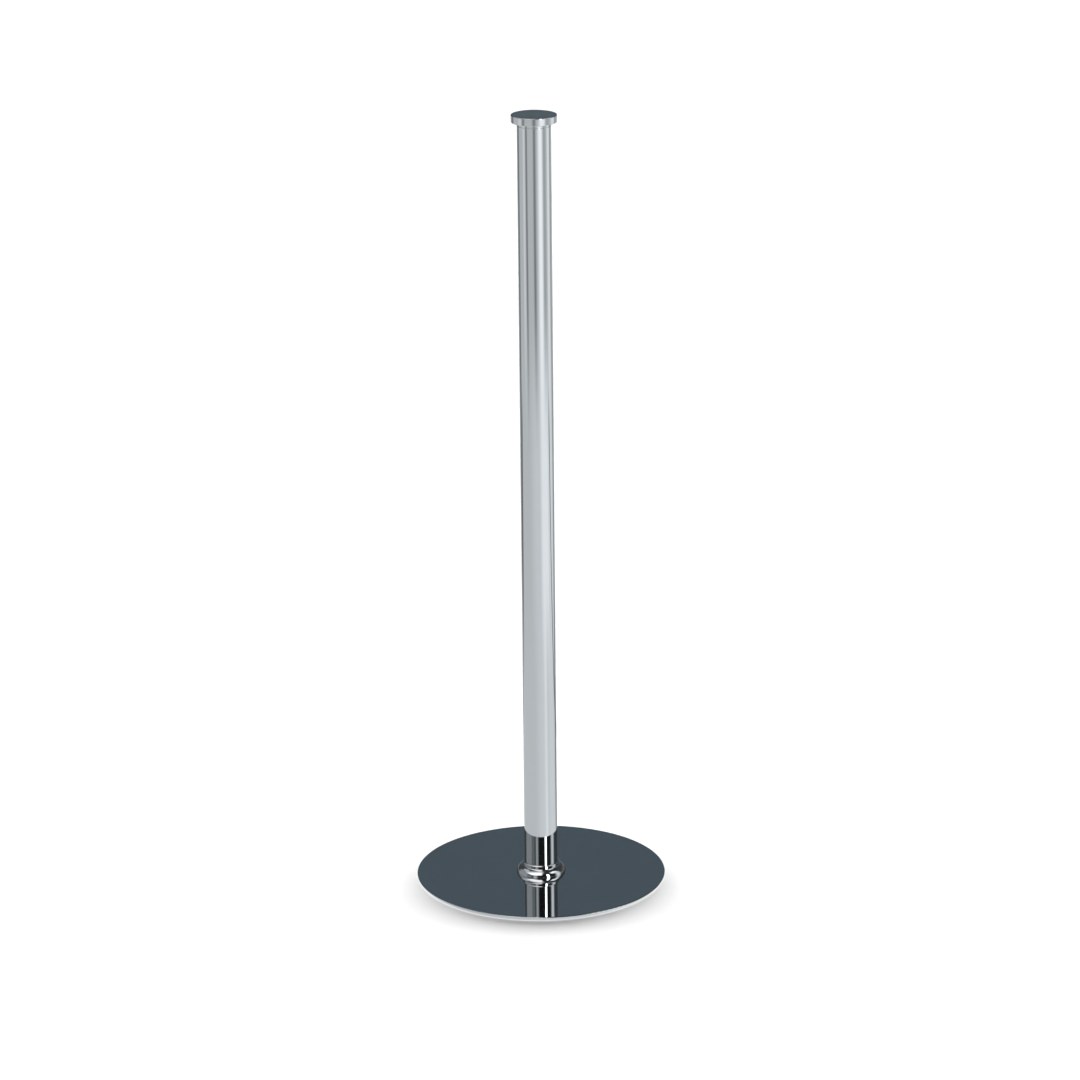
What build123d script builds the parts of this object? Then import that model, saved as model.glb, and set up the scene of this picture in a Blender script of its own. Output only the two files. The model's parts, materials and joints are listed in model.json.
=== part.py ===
from build123d import *
import os

# A free-standing flag pole stand: a bright tube on a thin round base plate, closed by a flanged cap.
# The cap pulls off, and a flag pole then slides down the tube between two guide bushes until it stands
# on a rubber pad. Lengths are in millimetres. The origin is the middle of the floor face, +Z up the tube.

# Base
plate_diameter = 320.0
plate_thickness = 5.0
plate_edge_radius = 0.8
pad_thickness = 1.5
pad_inset = 6.0  # how far the pad's edge stays inside the plate's edge
pad_hole_margin = 12.0  # from the outermost screw head to the edge of the pad's middle hole

# Tube
tube_diameter = 42.4
tube_wall = 2.0
tube_length = 980.0
tube_end_radius = 0.4

# Plug in the foot of the tube, and the countersunk screws that hold the plate to it
plug_length = 30.0
plug_edge_distance = 7.15  # from the plug's side to a screw's axis
plug_hole_spare = 3.0  # hole left free beyond the end of each screw
base_screw_count = 3
base_screw_diameter = 6.0
base_screw_length = 20.0
base_screw_head_diameter = 12.0
base_screw_head_land = 0.3
base_screw_socket = 4.0  # across the flats
base_screw_socket_depth = 2.4

# Collar at the foot of the tube: a half-round ring with a short neck, and the seal inside that grips the tube
collar_width = 10.4  # from the tube's side to the ring's outermost line, on the plate
collar_round_radius = 10.0
collar_neck_thickness = 2.4  # from the tube's side to the neck's outside
collar_neck_height = 14.5
collar_neck_edge_radius = 1.4
collar_seal_height = 4.4  # from the plate to the seal's middle
collar_seal_section = 2.0
collar_seal_squeeze = 0.2

# What holds a flag pole inside the tube
rest_pad_thickness = 6.0
guide_bush_wall = 1.4
guide_bush_lead_in = 0.8
upper_bush_length = 40.0
lower_bush_length = 30.0

# Cap
cap_overhang = 7.3  # how far the disc stands out beyond the tube
cap_rim_height = 9.5
cap_edge_radius = 0.7
shoulder_height = 4.0
shoulder_edge_radius = 0.4
spigot_length = 28.0
spigot_web = 6.0
spigot_wall = 4.5
spigot_lead_in = 1.0
grip_ring_count = 2
grip_ring_pitch = 9.0
grip_ring_section = 2.4
grip_ring_squeeze = 0.25

# Screw and washer that hold the spigot to the disc
cap_screw_diameter = 6.0
cap_screw_length = 16.0
cap_screw_head_diameter = 10.0
cap_screw_head_height = 6.0
cap_screw_socket = 5.0  # across the flats
cap_screw_socket_depth = 3.0
cap_hole_spare = 1.0
washer_diameter = 12.0
washer_thickness = 1.6

# Clearances, each between two radii unless it says otherwise
fixed_clearance = 0.05  # pieces pressed, bonded or screwed together for good
shank_clearance = 0.3  # a screw's shank in a plain hole
collar_clearance = 0.15
rest_pad_clearance = 0.2
spigot_clearance = 0.25
seal_clearance = 0.03
groove_clearance = 0.1  # between the sides of a groove and its ring

# Radii
plate_radius = plate_diameter / 2
tube_radius = tube_diameter / 2
bore_radius = tube_radius - tube_wall
plug_radius = bore_radius - fixed_clearance
bush_radius = bore_radius - fixed_clearance
socket_radius = bush_radius - guide_bush_wall  # the hole that takes the pole
spigot_radius = socket_radius - spigot_clearance
cap_radius = tube_radius + cap_overhang
base_screw_radius = base_screw_diameter / 2
base_screw_head_radius = base_screw_head_diameter / 2
base_screw_circle_radius = plug_radius - plug_edge_distance
pad_hole_radius = base_screw_circle_radius + base_screw_head_radius + pad_hole_margin
collar_middle_radius = tube_radius + collar_width - collar_round_radius
collar_bore_radius = tube_radius + collar_clearance
collar_neck_radius = tube_radius + collar_neck_thickness
collar_groove_radius = tube_radius + collar_seal_section - collar_seal_squeeze
cap_screw_radius = cap_screw_diameter / 2
grip_groove_radius = socket_radius - grip_ring_section + grip_ring_squeeze

# Heights above the floor
plate_bottom = pad_thickness
plate_top = plate_bottom + plate_thickness
plug_top = plate_top + plug_length
rest_pad_top = plug_top + rest_pad_thickness
tube_top = plate_top + tube_length
disc_bottom = tube_top + shoulder_height
cap_top = disc_bottom + cap_rim_height
collar_seal_middle = plate_top + collar_seal_height
collar_top = plate_top + collar_neck_height
spigot_bottom = tube_top - spigot_length
web_bottom = tube_top - spigot_web
cap_screw_head_top = web_bottom - washer_thickness
cap_screw_head_bottom = cap_screw_head_top - cap_screw_head_height
cap_screw_tip = cap_screw_head_top + cap_screw_length


def disc(radius, bottom, top):
    """A solid cylinder on the tube's axis."""
    return Pos(0, 0, bottom) * Cylinder(radius, top - bottom, align=(Align.CENTER, Align.CENTER, Align.MIN))


def sleeve(outer, inner, bottom, top):
    """A hollow cylinder on the tube's axis."""
    return disc(outer, bottom, top) - disc(inner, bottom, top)


def cone(lower, upper, bottom, top):
    """A cone with its point cut off, on the tube's axis."""
    return Pos(0, 0, bottom) * Cone(lower, upper, top - bottom, align=(Align.CENTER, Align.CENTER, Align.MIN))


def hexagon(across_flats, bottom, top):
    """A hexagonal prism on the tube's axis."""
    outline = RegularPolygon(across_flats / 2, 6, major_radius=False)
    return Pos(0, 0, bottom) * extrude(outline, top - bottom)


def ring(inner, outer, middle):
    """A ring of round section on the tube's axis, between two radii."""
    return Pos(0, 0, middle) * Torus((inner + outer) / 2, (outer - inner) / 2)


def edges_of_radius(solid, radius):
    """The circular edges of one radius, lowest first."""
    circles = solid.edges().filter_by(GeomType.CIRCLE)
    return circles.filter_by(lambda edge: abs(edge.radius - radius) < 0.001).sort_by(Axis.Z)


def at_base_screws(item):
    """A copy of an item at the place of each screw in the base."""
    return PolarLocations(base_screw_circle_radius, base_screw_count, start_angle=90) * item


def countersunk(clearance, top):
    """The outline of a base screw up to a height, wider than the screw by a clearance."""
    head = base_screw_head_radius + clearance
    shank = base_screw_radius + clearance
    land_top = plate_bottom + base_screw_head_land
    cone_top = land_top + head - shank
    outline = disc(head, plate_bottom, land_top) + cone(head, shank, land_top, cone_top)
    return outline + disc(shank, cone_top, top)


def base_plate():
    plate = disc(plate_radius, plate_bottom, plate_top)
    plate = fillet(edges_of_radius(plate, plate_radius), plate_edge_radius)
    return plate - at_base_screws(countersunk(fixed_clearance, plate_top))


def floor_pad():
    return sleeve(plate_radius - pad_inset, pad_hole_radius, 0, plate_bottom)


def base_screws():
    screw = countersunk(0, plate_bottom + base_screw_length)
    screw -= hexagon(base_screw_socket, plate_bottom, plate_bottom + base_screw_socket_depth)
    return Compound(at_base_screws(screw))


def foot_plug():
    hole_top = plate_bottom + base_screw_length + plug_hole_spare
    hole = disc(base_screw_radius + fixed_clearance, plate_top, hole_top)
    return disc(plug_radius, plate_top, plug_top) - at_base_screws(hole)


def stand_tube():
    tube = sleeve(tube_radius, bore_radius, plate_top, tube_top)
    return fillet(edges_of_radius(tube, tube_radius), tube_end_radius)


def foot_collar():
    """A half-round ring that lies on the plate and swells round a neck, with a groove inside for the seal."""
    neck = disc(collar_neck_radius, plate_top, collar_top)
    neck = fillet(edges_of_radius(neck, collar_neck_radius)[-1], collar_neck_edge_radius)
    collar = neck + Pos(0, 0, plate_top) * Torus(collar_middle_radius, collar_round_radius)
    collar -= disc(collar_middle_radius + collar_round_radius, plate_top - collar_round_radius, plate_top)
    collar -= disc(collar_bore_radius, plate_top, collar_top)
    half_groove = collar_seal_section / 2 + groove_clearance
    groove_bottom = collar_seal_middle - half_groove
    return collar - disc(collar_groove_radius, groove_bottom, collar_seal_middle + half_groove)


def collar_seal():
    return ring(tube_radius + seal_clearance, collar_groove_radius - seal_clearance, collar_seal_middle)


def pole_rest_pad():
    return disc(bore_radius - rest_pad_clearance, plug_top, rest_pad_top)


def guide_bush(bottom, top):
    """A plastic sleeve with a tapered mouth at its top."""
    lead_in = cone(socket_radius, socket_radius + guide_bush_lead_in, top - guide_bush_lead_in, top)
    return sleeve(bush_radius, socket_radius, bottom, top) - lead_in


def lower_guide_bush():
    return guide_bush(rest_pad_top, rest_pad_top + lower_bush_length)


def upper_guide_bush():
    return guide_bush(tube_top - upper_bush_length, tube_top)


def cap_disc():
    flange = disc(cap_radius, disc_bottom, cap_top)
    flange = fillet(edges_of_radius(flange, cap_radius), cap_edge_radius)
    shoulder = disc(tube_radius, tube_top, disc_bottom)
    shoulder = fillet(edges_of_radius(shoulder, tube_radius)[0], shoulder_edge_radius)
    hole = disc(cap_screw_radius + fixed_clearance, tube_top, cap_screw_tip + cap_hole_spare)
    return flange + shoulder - hole


def grip_ring_heights():
    """The middle of each grip ring, evenly spaced about the middle of the spigot."""
    lowest = (spigot_bottom + tube_top - grip_ring_pitch * (grip_ring_count - 1)) / 2
    return [lowest + grip_ring_pitch * number for number in range(grip_ring_count)]


def cap_spigot():
    spigot = disc(spigot_radius, spigot_bottom, tube_top)
    spigot = chamfer(edges_of_radius(spigot, spigot_radius)[0], spigot_lead_in)
    spigot -= disc(spigot_radius - spigot_wall, spigot_bottom, web_bottom)
    spigot -= disc(cap_screw_radius + shank_clearance, web_bottom, tube_top)
    half_groove = grip_ring_section / 2 + groove_clearance
    for height in grip_ring_heights():
        spigot -= sleeve(socket_radius, grip_groove_radius, height - half_groove, height + half_groove)
    return spigot


def cap_grip_rings():
    inner = grip_groove_radius + seal_clearance
    outer = socket_radius - seal_clearance
    return Compound([ring(inner, outer, height) for height in grip_ring_heights()])


def cap_washer():
    return sleeve(washer_diameter / 2, cap_screw_radius + shank_clearance, cap_screw_head_top, web_bottom)


def cap_screw():
    head = disc(cap_screw_head_diameter / 2, cap_screw_head_bottom, cap_screw_head_top)
    shank = disc(cap_screw_radius, cap_screw_head_top, cap_screw_tip)
    socket = hexagon(cap_screw_socket, cap_screw_head_bottom, cap_screw_head_bottom + cap_screw_socket_depth)
    return head + shank - socket


PIECES = [
    floor_pad,
    base_plate,
    base_screws,
    foot_plug,
    stand_tube,
    foot_collar,
    collar_seal,
    pole_rest_pad,
    lower_guide_bush,
    upper_guide_bush,
    cap_disc,
    cap_spigot,
    cap_grip_rings,
    cap_washer,
    cap_screw,
]

os.makedirs("parts", exist_ok=True)
for piece in PIECES:
    export_step(piece(), f"parts/{piece.__name__}.step")
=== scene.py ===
import json
from math import radians, sin

import bmesh
import bpy
from mathutils import Matrix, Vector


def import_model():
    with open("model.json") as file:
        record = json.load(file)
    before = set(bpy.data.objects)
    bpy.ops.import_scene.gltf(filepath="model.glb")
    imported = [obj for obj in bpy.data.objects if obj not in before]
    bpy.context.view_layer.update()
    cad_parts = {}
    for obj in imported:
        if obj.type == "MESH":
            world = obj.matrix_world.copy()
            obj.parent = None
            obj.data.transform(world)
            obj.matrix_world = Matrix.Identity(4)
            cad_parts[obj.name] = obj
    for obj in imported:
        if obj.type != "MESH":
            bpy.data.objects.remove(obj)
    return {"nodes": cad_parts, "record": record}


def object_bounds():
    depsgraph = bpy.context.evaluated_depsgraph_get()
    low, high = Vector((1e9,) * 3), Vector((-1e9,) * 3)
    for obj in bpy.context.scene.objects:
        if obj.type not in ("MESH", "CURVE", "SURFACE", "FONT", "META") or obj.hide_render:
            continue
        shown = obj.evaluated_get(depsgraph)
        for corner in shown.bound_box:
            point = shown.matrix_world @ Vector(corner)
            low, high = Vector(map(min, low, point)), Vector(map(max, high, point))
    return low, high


# The looks of the flag pole stand: mirror metal outside, rubber, nylon and steel inside.
# Lengths are in metres. Azimuths are in degrees from straight in front of the stand (-Y), positive to the
# right. A colour is linear, and a brightness of 1 shows white.

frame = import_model()
NODES = frame["nodes"]
cad_low, cad_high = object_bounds()

# Camera
EYE = (0.0, -5.145, 2.064)
PITCH = 17.377  # degrees down
YAW = 0.029  # degrees to the right
ROLL = -0.554  # degrees
LENS_MM = 142.37
SENSOR_MM = 36.0

# Studio
FLOOR_SIDE = 60.0
BACKDROP_RADIUS = 29.0
FLOOR_LEVEL = cad_low.z
SURROUND_RADIUS = 6.0
GLOW_DROP = 0.0005  # how far its floor lies under the real floor
DOME_SEGMENTS = 96

# World light: the same from all round, and a low band behind that fades as a power of its height
EVEN_LIGHT = 0.4
BACK_LIGHT = 0.21
BACK_LIGHT_FALL = 2.8
BACK_LIGHT_LOWEST = 0.05
BACK_LIGHT_ELEVATION = (4, 6.5)  # degrees, from none to all of it
BACK_LIGHT_SPREAD = (88, 52)  # degrees from straight behind, from none to all of it

SOCKETS = {"specular_ior_level": "Specular IOR Level"}


def add(name, data):
    """A new object holding this data, in the scene."""
    piece = bpy.data.objects.new(name, data)
    bpy.context.scene.collection.objects.link(piece)
    return piece


def camera():
    data = bpy.data.cameras.new("camera")
    data.lens = LENS_MM
    data.sensor_width = SENSOR_MM
    data.clip_end = 100.0
    turn = Matrix.Rotation(radians(-YAW), 4, "Z") @ Matrix.Rotation(radians(90 - PITCH), 4, "X")
    eye = add("camera", data)
    eye.matrix_world = Matrix.Translation(EYE) @ turn @ Matrix.Rotation(radians(ROLL), 4, "Z")
    bpy.context.scene.camera = eye


class Shader:
    """A material or world node tree, with short ways to add and join nodes."""

    def __init__(self, owner):
        owner.use_nodes = True
        self.tree = owner.node_tree
        self.tree.nodes.clear()

    def node(self, kind, **values):
        made = self.tree.nodes.new(kind)
        for name, value in values.items():
            setattr(made, name, value)
        return made

    def join(self, source, target):
        self.tree.links.new(source, target)

    def put(self, socket, value):
        """Joins a socket to another node's output, or sets it to a plain value."""
        if isinstance(value, bpy.types.NodeSocket):
            self.join(value, socket)
        else:
            socket.default_value = value

    def place(self):
        return self.node("ShaderNodeTexCoord").outputs["Object"]

    def parts(self, vector):
        """The x, y and z of a vector."""
        made = self.node("ShaderNodeSeparateXYZ")
        self.join(vector, made.inputs[0])
        return made.outputs

    def math(self, operation, *values):
        made = self.node("ShaderNodeMath", operation=operation)
        for socket, value in zip(made.inputs, values):
            self.put(socket, value)
        return made.outputs[0]

    def flat_length(self, x, y):
        return self.math("SQRT", self.math("ADD", self.math("MULTIPLY", x, x), self.math("MULTIPLY", y, y)))

    def smooth(self, value, low, high):
        """0 below low, 1 above high, and a smooth step between."""
        made = self.node("ShaderNodeMapRange", interpolation_type="SMOOTHSTEP")
        self.put(made.inputs["Value"], value)
        made.inputs["From Min"].default_value = low
        made.inputs["From Max"].default_value = high
        return made.outputs[0]

    def between(self, value, low, high):
        """A value from 0 to 1 carried to the range from low to high."""
        made = self.node("ShaderNodeMapRange")
        self.put(made.inputs["Value"], value)
        made.inputs["To Min"].default_value = low
        made.inputs["To Max"].default_value = high
        return made.outputs[0]

    def mix(self, share, first, second):
        made = self.node("ShaderNodeMix", data_type="RGBA")
        self.put(made.inputs["Factor"], share)
        self.put(made.inputs["A"], first)
        self.put(made.inputs["B"], second)
        return made.outputs["Result"]

    def multiply(self, first, second):
        made = self.node("ShaderNodeMix", data_type="RGBA", blend_type="MULTIPLY")
        self.put(made.inputs["Factor"], 1.0)
        self.put(made.inputs["A"], first)
        self.put(made.inputs["B"], second)
        return made.outputs["Result"]

    def noise(self, scale, detail=2.0, stretch=(1, 1, 1)):
        """Noise at a scale in features per metre, stretched along each axis."""
        turned = self.node("ShaderNodeMapping")
        self.join(self.place(), turned.inputs["Vector"])
        turned.inputs["Scale"].default_value = stretch
        made = self.node("ShaderNodeTexNoise")
        self.join(turned.outputs["Vector"], made.inputs["Vector"])
        made.inputs["Scale"].default_value = scale
        made.inputs["Detail"].default_value = detail
        return made.outputs["Fac"]

    def cells(self, scale):
        """0 at the middle of each pebble and 1 in the gaps, at a scale in pebbles per metre."""
        made = self.node("ShaderNodeTexVoronoi", feature="F1")
        self.join(self.place(), made.inputs["Vector"])
        made.inputs["Scale"].default_value = scale
        return made.outputs["Distance"]

    def turning(self, pitch):
        """Uneven tool rings round the stand's axis, a pitch in metres apart."""
        x, y, z = self.parts(self.place())
        radius = self.flat_length(x, y)
        lines = self.node("ShaderNodeCombineXYZ")
        self.join(radius, lines.inputs["X"])
        self.join(z, lines.inputs["Y"])
        made = self.node("ShaderNodeTexNoise")
        self.join(lines.outputs[0], made.inputs["Vector"])
        made.inputs["Scale"].default_value = 1 / pitch
        made.inputs["Detail"].default_value = 2.0
        return made.outputs["Fac"]

    def bump(self, height, depth):
        """Normals for a height from 0 to 1 that stands for this depth in metres."""
        made = self.node("ShaderNodeBump")
        self.join(height, made.inputs["Height"])
        made.inputs["Distance"].default_value = depth
        made.inputs["Strength"].default_value = 1.0
        return made.outputs["Normal"]

    def surface(self, **values):
        """The Principled surface, with sockets named in lower case with underscores."""
        made = self.node("ShaderNodeBsdfPrincipled")
        for name, value in values.items():
            self.put(made.inputs[SOCKETS.get(name, name.replace("_", " ").title())], value)
        self.join(made.outputs["BSDF"], self.node("ShaderNodeOutputMaterial").inputs["Surface"])


def mirror_metal():
    """Bright chrome plate: a true mirror with faint polishing haze and hairlines, and a slight tint."""
    material = bpy.data.materials.new("mirror_metal")
    s = Shader(material)
    haze = s.noise(45.0, 4.0)
    hairline = s.noise(900.0, 2.0, stretch=(1, 1, 0.02))
    scratch = s.between(s.smooth(hairline, 0.6, 0.75), 0.0, 0.03)
    rough = s.math("ADD", s.between(haze, 0.015, 0.05), scratch)
    tint = s.mix(haze, (0.765, 0.775, 0.785, 1), (0.795, 0.8, 0.805, 1))
    ripple = s.noise(60.0, 1.0)
    s.surface(base_color=tint, metallic=1.0, roughness=rough, normal=s.bump(ripple, 0.00001))
    return material


def turned_metal(name, colour, pitch, rough):
    """Lathe-turned metal: fine grooves round the axis, with a little staining."""
    material = bpy.data.materials.new(name)
    s = Shader(material)
    groove = s.turning(pitch)
    stain = s.noise(120.0, 4.0)
    dull = tuple(0.72 * c for c in colour)
    s.surface(
        base_color=s.mix(s.between(stain, 0.1, 0.9), dull + (1,), colour + (1,)),
        metallic=1.0,
        roughness=s.math("ADD", s.between(groove, rough - 0.06, rough + 0.08), s.between(stain, -0.05, 0.08)),
        normal=s.bump(groove, 0.00003),
    )
    return material


def zinc_screws():
    """Zinc-plated screws: fine crystal mottling, and dull patches in the plating."""
    material = bpy.data.materials.new("zinc_screws")
    s = Shader(material)
    crystal = s.noise(2600.0, 3.0)
    patch = s.noise(220.0, 4.0)
    pale = s.mix(crystal, (0.55, 0.56, 0.58, 1), (0.72, 0.73, 0.74, 1))
    s.surface(
        base_color=s.mix(s.smooth(patch, 0.45, 0.7), pale, (0.5, 0.49, 0.45, 1)),
        metallic=1.0,
        roughness=s.math("ADD", s.between(crystal, 0.2, 0.36), s.between(patch, -0.05, 0.1)),
        normal=s.bump(crystal, 0.00002),
    )
    return material


def pebbled_rubber():
    """Black rubber sheet: a fine pebble grain, with dust rubbed into its low places."""
    material = bpy.data.materials.new("pebbled_rubber")
    s = Shader(material)
    pebble = s.cells(1400.0)
    dust = s.noise(60.0, 5.0)
    dusty = s.math("MULTIPLY", s.smooth(pebble, 0.5, 0.9), s.smooth(dust, 0.4, 0.75))
    s.surface(
        base_color=s.mix(dusty, (0.018, 0.018, 0.019, 1), (0.085, 0.08, 0.075, 1)),
        roughness=s.between(dust, 0.55, 0.85),
        normal=s.bump(s.math("SUBTRACT", 1.0, pebble), 0.00012),
    )
    return material


def seal_rubber():
    """A moulded O-ring: smooth black rubber, with a satin haze and fine specks."""
    material = bpy.data.materials.new("seal_rubber")
    s = Shader(material)
    speck = s.noise(3200.0, 2.0)
    haze = s.noise(150.0, 4.0)
    s.surface(
        base_color=s.mix(haze, (0.012, 0.012, 0.013, 1), (0.03, 0.03, 0.031, 1)),
        roughness=s.between(haze, 0.35, 0.6),
        normal=s.bump(speck, 0.00002),
    )
    return material


def turned_plastic(name, dark, light, pitch, rough):
    """Plastic turned from bar: soft tool rings, with a faint mottling through it."""
    material = bpy.data.materials.new(name)
    s = Shader(material)
    groove = s.turning(pitch)
    mottle = s.noise(260.0, 5.0)
    shade = s.math("ADD", s.between(mottle, 0.0, 0.7), s.between(groove, 0.0, 0.3))
    tooled = s.between(groove, rough - 0.05, rough + 0.08)
    s.surface(
        base_color=s.mix(shade, dark, light),
        roughness=s.math("ADD", tooled, s.between(mottle, -0.05, 0.07)),
        normal=s.bump(groove, 0.00004),
    )
    return material


# Each plastic's darker and lighter colour
NYLON = (0.6, 0.57, 0.5, 1), (0.78, 0.76, 0.7, 1)
ACETAL = (0.016, 0.016, 0.018, 1), (0.045, 0.045, 0.048, 1)


def finish_nodes():
    """Gives every CAD node the material of its slot."""
    slots = {
        "bright_metal": mirror_metal(),
        "turned_steel": turned_metal("turned_steel", (0.6, 0.6, 0.61), 0.0006, 0.3),
        "screw_steel": zinc_screws(),
        "pad_rubber": pebbled_rubber(),
        "seal_rubber": seal_rubber(),
        "bush_plastic": turned_plastic("nylon", *NYLON, 0.0009, 0.42),
        "spigot_plastic": turned_plastic("acetal", *ACETAL, 0.0007, 0.36),
    }
    slot_of = {part["node"]: part["material_slot"] for part in frame["record"]["subparts"]}
    for name, piece in NODES.items():
        piece.data.materials.clear()
        piece.data.materials.append(slots[slot_of[name]])


def dome(name, radius, lowest=None):
    """A sphere's mesh, flattened where it would go below the lowest level."""
    form = bmesh.new()
    bmesh.ops.create_uvsphere(form, u_segments=DOME_SEGMENTS, v_segments=DOME_SEGMENTS, radius=radius)
    if lowest is not None:
        for point in form.verts:
            point.co.z = max(point.co.z, lowest)
    mesh = bpy.data.meshes.new(name)
    form.to_mesh(mesh)
    form.free()
    return mesh


def floor():
    """The pale floor that the camera sees. The metal sees the painted floor reflection on the painted
    reflection dome instead.
    """
    mesh = bpy.data.meshes.new("floor")
    half = FLOOR_SIDE / 2
    corners = [(-half, -half), (half, -half), (half, half), (-half, half)]
    mesh.from_pydata([(x, y, FLOOR_LEVEL) for x, y in corners], [], [(0, 1, 2, 3)])
    piece = add("floor", mesh)
    material = bpy.data.materials.new("pale_floor")
    s = Shader(material)
    s.surface(base_color=(0.9, 0.9, 0.9, 1), roughness=0.6, specular_ior_level=0.0)
    mesh.materials.append(material)
    piece.visible_glossy = False


# Painted reflections: what the mirror metal sees round the studio at three distances on the floor and on the
# walls, painted on a glowing dome that only reflections see. Each piece is (middle azimuth, width, softness
# of its edges, brightness), and later ones cover earlier ones.
NEAR_FLOOR = 0.6
NEAR_CARDS = [(20, 60, 30, 0.7), (45, 20, 12, 0.87), (90, 55, 12, 0.74), (140, 18, 6, 0.2)]
MID_FLOOR = 0.57
MID_CARDS = [
    (0, 60, 30, 0.68), (55, 60, 15, 0.94), (105, 35, 10, 0.8), (-135, 25, 6, 0.2), (140, 15, 5, 0.25),
]
FAR_FLOOR = 0.54
FAR_CARDS = [
    (-135, 25, 6, 0.2), (-75, 15, 6, 0.72), (-55, 12, 6, 0.22), (0, 15, 8, 0.22), (40, 30, 12, 1.05),
    (70, 18, 8, 0.42), (105, 25, 8, 0.85), (130, 12, 6, 0.3),
]
# Painted reflection of the walls. The brightest piece, at 34 degrees, is a painted strip-light highlight that
# lights nothing
WALL = 0.05
WALL_CARDS = [
    (-95, 60, 10, 0.3), (-55, 20, 6, 0.17), (-28, 16, 6, 0.42), (5, 38, 4, 0.01), (56, 26, 4, 0.01),
    (88, 24, 9, 0.75), (34, 11, 2, 5.0),
]
FLOOR_TINT = (0.955, 1.005, 1.04, 1)
SLATE = (0.072, 0.097, 0.117, 1)
# Painted highlight: the white of a ring of painted floor just round the plate, which the plate's rim reflects
RIM_REFLECTION_WHITE = (1.05, 1.05, 1.05, 1)
CEILING = (0.03, 0.035, 0.04, 1)
SOFTBOX_FRONT = (1.4, 1.4, 1.4, 1)
SOFTBOX_BACK = (0.62, 0.64, 0.66, 1)
LEFT_PANEL = (0.5, 0.53, 0.56, 1)
RIGHT_PANEL = (1.1, 1.1, 1.1, 1)
WALL_TINT = (0.91, 1.0, 1.05, 1)

# Distances over the painted floor reflection where one band of cards gives way to the next
WHITE_END = (0.165, 0.17)
NEAR_TO_MID = (0.7, 1.4)
MID_TO_FAR = (1.9, 3.2)
FAR_TO_WALL = (5.2, 5.8)

# The seam: a dark line on the painted floor reflection where y = SEAM_OFFSET - SEAM_SLOPE * x
SEAM_DARK = 0.25
SEAM_SLOPE = 0.22
SEAM_OFFSET = 0.558
SEAM_WIDTH = (-0.06, 0.06, 0.04)  # from, to and softness, over the distance away
SEAM_REACH = (0.55, 2.3, 0.2)

# Overhead in the painted reflections, as from, to and softness. The softbox, a painted highlight that lights
# nothing, is measured across and along at a height of 1.
SLATE_AZIMUTHS = (155, 170)
CEILING_ELEVATIONS = (38, 46)
SOFTBOX_ELEVATIONS = (20, 30)
SOFTBOX_ACROSS = (-1.35, 0.08, 0.12)
SOFTBOX_ALONG = (-1.45, 0.1, 0.12)
SOFTBOX_FADE = (-0.55, 0.0)
LEAST_HEIGHT = 0.1
RIGHT_PANEL_AZIMUTHS = (60, 100)
RIGHT_PANEL_HEIGHTS = (0.6, 0.85, 0.03)
LEFT_PANEL_AZIMUTHS = (-140, -90)
LEFT_PANEL_HEIGHTS = (0.65, 0.85, 0.03)
PANEL_SOFTNESS = 0.06


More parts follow.
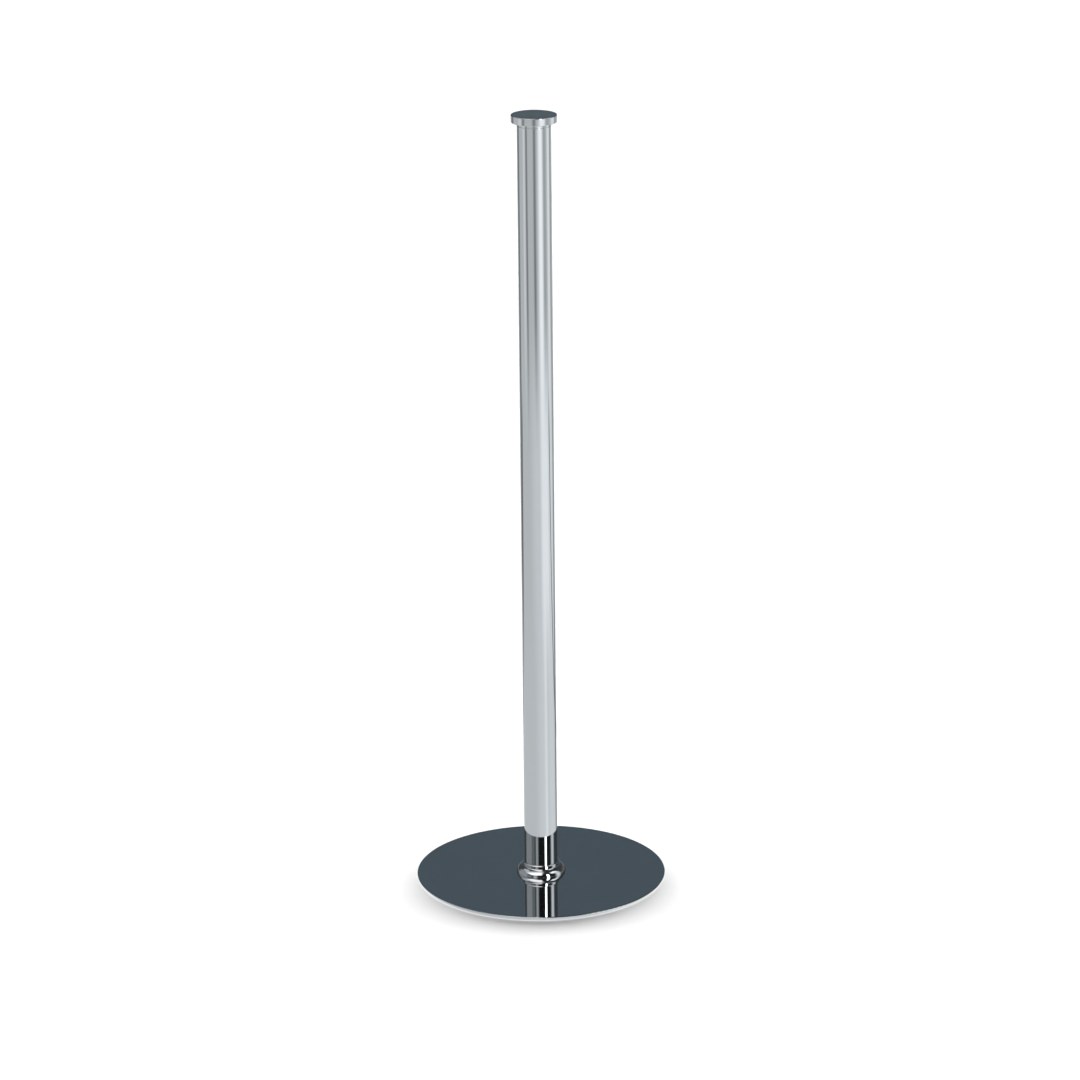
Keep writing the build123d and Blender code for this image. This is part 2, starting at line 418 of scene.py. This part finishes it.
def painted_reflection_dome():
    """Painted reflections: a glowing dome that only reflections see, painting what the mirror metal sees: the
    lit floor, dark walls, a strip light and softboxes overhead.
    """
    mesh = dome("painted_reflection_dome", SURROUND_RADIUS, -GLOW_DROP)
    piece = add("painted_reflection_dome", mesh)
    material = bpy.data.materials.new("painted_reflection_dome")
    s = Shader(material)
    x, y, z = s.parts(s.place())
    azimuth = s.math("ARCTAN2", x, s.math("MULTIPLY", y, -1.0))
    height = s.math("DIVIDE", z, SURROUND_RADIUS)
    away = s.flat_length(x, y)

    def above(low, high):
        """0 under the first elevation in degrees, and 1 over the second."""
        return s.smooth(height, sin(radians(low)), sin(radians(high)))

    def window(value, low, high, soft):
        """1 between low and high, 0 outside, with soft edges."""
        rise = s.smooth(value, low - soft, low + soft)
        fall = s.smooth(value, high - soft, high + soft)
        return s.math("SUBTRACT", rise, fall)

    def around(base, cards):
        """The base brightness, with each card laid over it."""
        shade = (base, base, base, 1)
        for middle, width, soft, bright in cards:
            low, high = radians(middle - width / 2), radians(middle + width / 2)
            shade = s.mix(window(azimuth, low, high, radians(soft)), shade, (bright, bright, bright, 1))
        return shade

    def panel(azimuths, heights):
        low, high = map(radians, azimuths)
        return s.math("MULTIPLY", window(azimuth, low, high, PANEL_SOFTNESS), window(height, *heights))

    # The painted floor reflection, with a dark seam that runs away behind on the right
    near, middle = around(NEAR_FLOOR, NEAR_CARDS), around(MID_FLOOR, MID_CARDS)
    ground = s.mix(s.smooth(away, *NEAR_TO_MID), near, middle)
    ground = s.mix(s.smooth(away, *MID_TO_FAR), ground, around(FAR_FLOOR, FAR_CARDS))
    line = s.math("ADD", s.math("MULTIPLY_ADD", x, SEAM_SLOPE, -SEAM_OFFSET), y)
    seam = s.math("MULTIPLY", window(s.math("DIVIDE", line, away), *SEAM_WIDTH), window(away, *SEAM_REACH))
    ground = s.multiply(ground, FLOOR_TINT)
    ground = s.mix(s.math("MULTIPLY", seam, 1 - SEAM_DARK), ground, (0.0, 0.0, 0.0, 1))
    # Painted highlight on the plate's rim: painted floor within WHITE_END of the axis is white
    ground = s.mix(s.smooth(away, *WHITE_END), RIM_REFLECTION_WHITE, ground)

    # The painted reflections of the walls and the ceiling, with the painted highlights of the softbox and the
    # side panels
    wall = s.multiply(around(WALL, WALL_CARDS), WALL_TINT)
    wall = s.mix(s.smooth(s.math("ABSOLUTE", azimuth), *map(radians, SLATE_AZIMUTHS)), wall, SLATE)
    room = s.mix(above(*CEILING_ELEVATIONS), wall, CEILING)
    level = s.math("MAXIMUM", z, LEAST_HEIGHT)
    across, along = s.math("DIVIDE", x, level), s.math("DIVIDE", y, level)
    box = s.math("MULTIPLY", window(across, *SOFTBOX_ACROSS), window(along, *SOFTBOX_ALONG))
    softbox = s.mix(s.smooth(along, *SOFTBOX_FADE), SOFTBOX_FRONT, SOFTBOX_BACK)
    room = s.mix(s.math("MULTIPLY", box, above(*SOFTBOX_ELEVATIONS)), room, softbox)
    room = s.mix(panel(LEFT_PANEL_AZIMUTHS, LEFT_PANEL_HEIGHTS), room, LEFT_PANEL)
    room = s.mix(panel(RIGHT_PANEL_AZIMUTHS, RIGHT_PANEL_HEIGHTS), room, RIGHT_PANEL)

    light = s.mix(s.smooth(away, *FAR_TO_WALL), ground, wall)
    light = s.mix(s.math("GREATER_THAN", z, 0.0), light, room)
    glow = s.node("ShaderNodeEmission")
    s.join(light, glow.inputs["Color"])
    s.join(glow.outputs[0], s.node("ShaderNodeOutputMaterial").inputs["Surface"])
    mesh.materials.append(material)
    piece.visible_camera = False
    piece.visible_diffuse = False
    piece.visible_shadow = False
    piece.visible_transmission = False


def backdrop():
    """A plain pale dome far behind everything, which only the camera sees."""
    mesh = dome("backdrop", BACKDROP_RADIUS)
    piece = add("backdrop", mesh)
    material = bpy.data.materials.new("backdrop")
    s = Shader(material)
    glow = s.node("ShaderNodeEmission")
    glow.inputs["Color"].default_value = (1, 1, 1, 1)
    s.join(glow.outputs[0], s.node("ShaderNodeOutputMaterial").inputs["Surface"])
    mesh.materials.append(material)
    piece.visible_diffuse = False
    piece.visible_glossy = False
    piece.visible_shadow = False
    piece.visible_transmission = False


def world():
    """Even light from all round, and a low bright back light that draws the contact shadow in front."""
    sky = bpy.data.worlds.new("studio")
    bpy.context.scene.world = sky
    s = Shader(sky)
    x, y, z = s.parts(s.node("ShaderNodeTexCoord").outputs["Generated"])
    behind = s.smooth(s.math("ABSOLUTE", s.math("ARCTAN2", x, y)), *map(radians, BACK_LIGHT_SPREAD))
    low = s.math("POWER", s.math("MAXIMUM", z, BACK_LIGHT_LOWEST), -BACK_LIGHT_FALL)
    shown = s.smooth(z, *[sin(radians(at)) for at in BACK_LIGHT_ELEVATION])
    back = s.math("MULTIPLY", s.math("MULTIPLY", behind, shown), s.math("MULTIPLY", low, BACK_LIGHT))
    strength = s.math("ADD", back, EVEN_LIGHT)
    glow = s.node("ShaderNodeBackground")
    s.join(strength, glow.inputs["Strength"])
    s.join(glow.outputs[0], s.node("ShaderNodeOutputWorld").inputs["Surface"])
    bpy.context.scene.view_settings.view_transform = "Standard"


camera()
floor()
painted_reflection_dome()
backdrop()
world()
finish_nodes()
